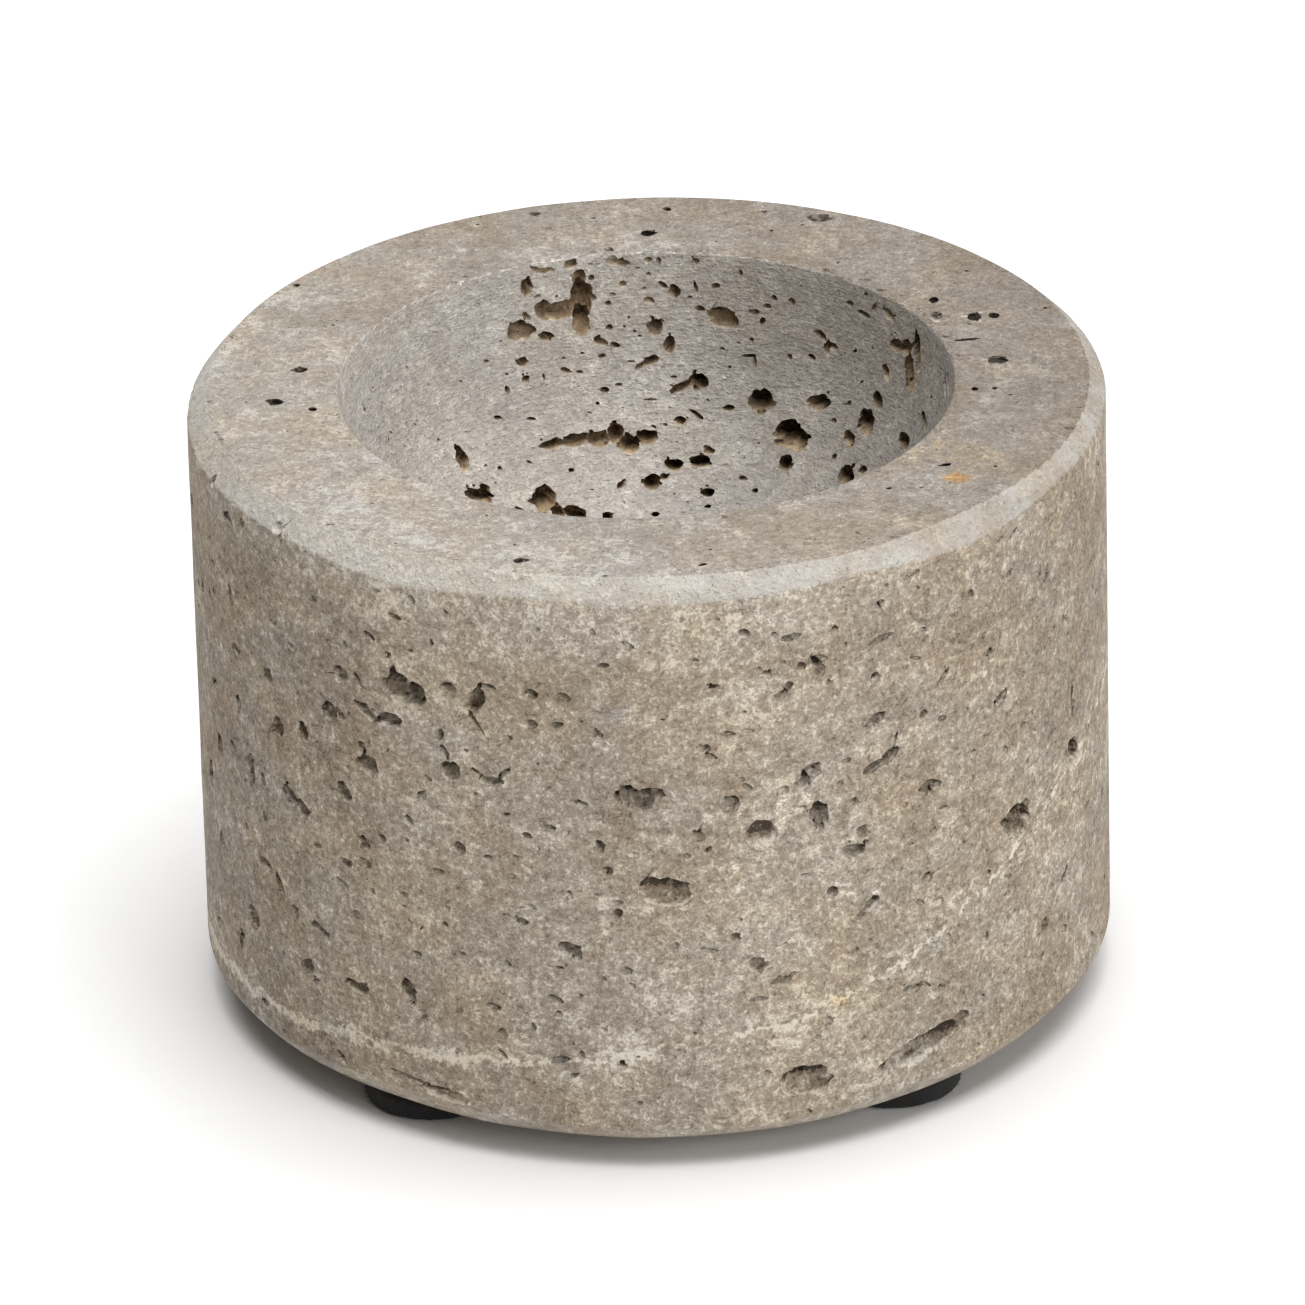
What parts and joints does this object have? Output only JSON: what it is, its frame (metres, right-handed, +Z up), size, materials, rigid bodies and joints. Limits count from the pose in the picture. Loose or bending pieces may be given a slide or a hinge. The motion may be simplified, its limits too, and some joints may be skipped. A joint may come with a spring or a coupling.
{
  "type": "stone mortar bowl",
  "caption": "Short round block of grey-beige travertine with a ball-shaped hollow in its top, chamfered edges and round black felt pads stuck under it, for grinding or holding small things.",
  "frame": {"origin": "on the surface that the felt pads stand on, on the stone's axis", "axes": "+Z up along the stone's axis, towards the bowl's mouth; +X to the right and -Y to the front, where the pads are seen"},
  "size_m": [0.1, 0.1, 0.07],
  "materials": {
    "travertine": "matte",
    "black_felt": "matte",
    "adhesive": "satin"
  },
  "bodies": {
    "root": {"stone_bowl": "travertine", "felt_pad_front_left": "black_felt", "felt_pad_front_right": "black_felt", "felt_pad_back_left": "black_felt", "felt_pad_back_right": "black_felt", "adhesive_disc_front_left": "adhesive", "adhesive_disc_front_right": "adhesive", "adhesive_disc_back_left": "adhesive", "adhesive_disc_back_right": "adhesive"}
  },
  "joints": []
}
